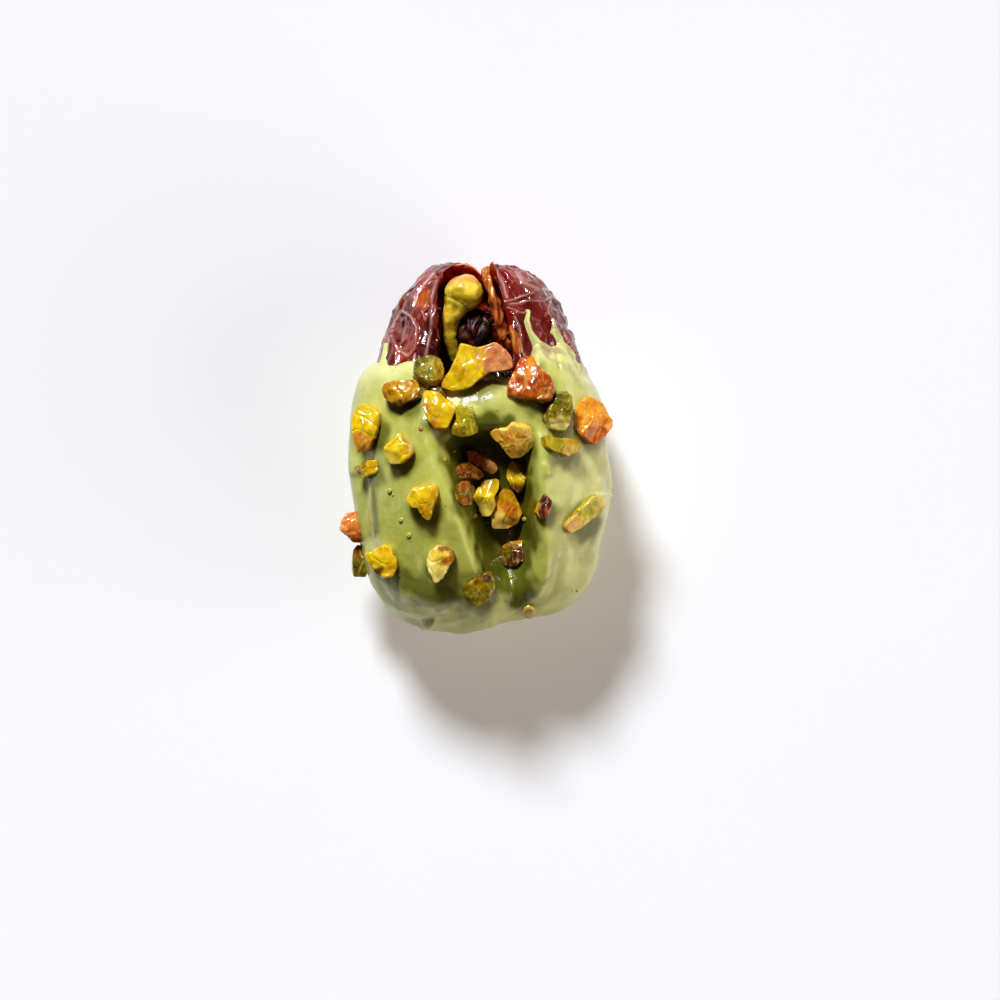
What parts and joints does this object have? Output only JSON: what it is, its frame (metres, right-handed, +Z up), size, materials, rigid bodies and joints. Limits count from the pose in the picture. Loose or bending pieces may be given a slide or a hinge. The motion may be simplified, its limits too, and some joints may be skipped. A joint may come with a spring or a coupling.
{
  "type": "chocolate covered date",
  "caption": "Split date stuffed with nut kernels, its lower part dipped in a green nut coating and strewn with chopped nuts.",
  "frame": {"origin": "centre of the bounding box, on the surface that the sweet lies on", "axes": "+Y towards the open end of the date, along its length; +Z up, out of its slit; +X to the right with the open end away"},
  "size_m": [0.034, 0.0466, 0.0268],
  "materials": {
    "date": "glossy, wrinkled date skin with orange flesh at its torn edges",
    "coating": "smooth waxy nut coating with chopped nuts set in it",
    "kernel_half": "satin nut kernel",
    "kernel_in_skin": "wrinkled dark kernel skin",
    "nut_slab": "oily cut nut",
    "nut_flank": "oily cut nut",
    "nut_orange": "oily roasted nut",
    "nut_salmon": "oily roasted nut",
    "nut_tan": "oily roasted nut"
  },
  "bodies": {
    "root": {"date": "date", "coating": "coating", "kernel_half": "kernel_half", "kernel_in_skin": "kernel_in_skin", "nut_slab": "nut_slab", "nut_flank": "nut_flank", "nut_orange": "nut_orange", "nut_salmon": "nut_salmon", "nut_tan": "nut_tan"}
  },
  "joints": []
}
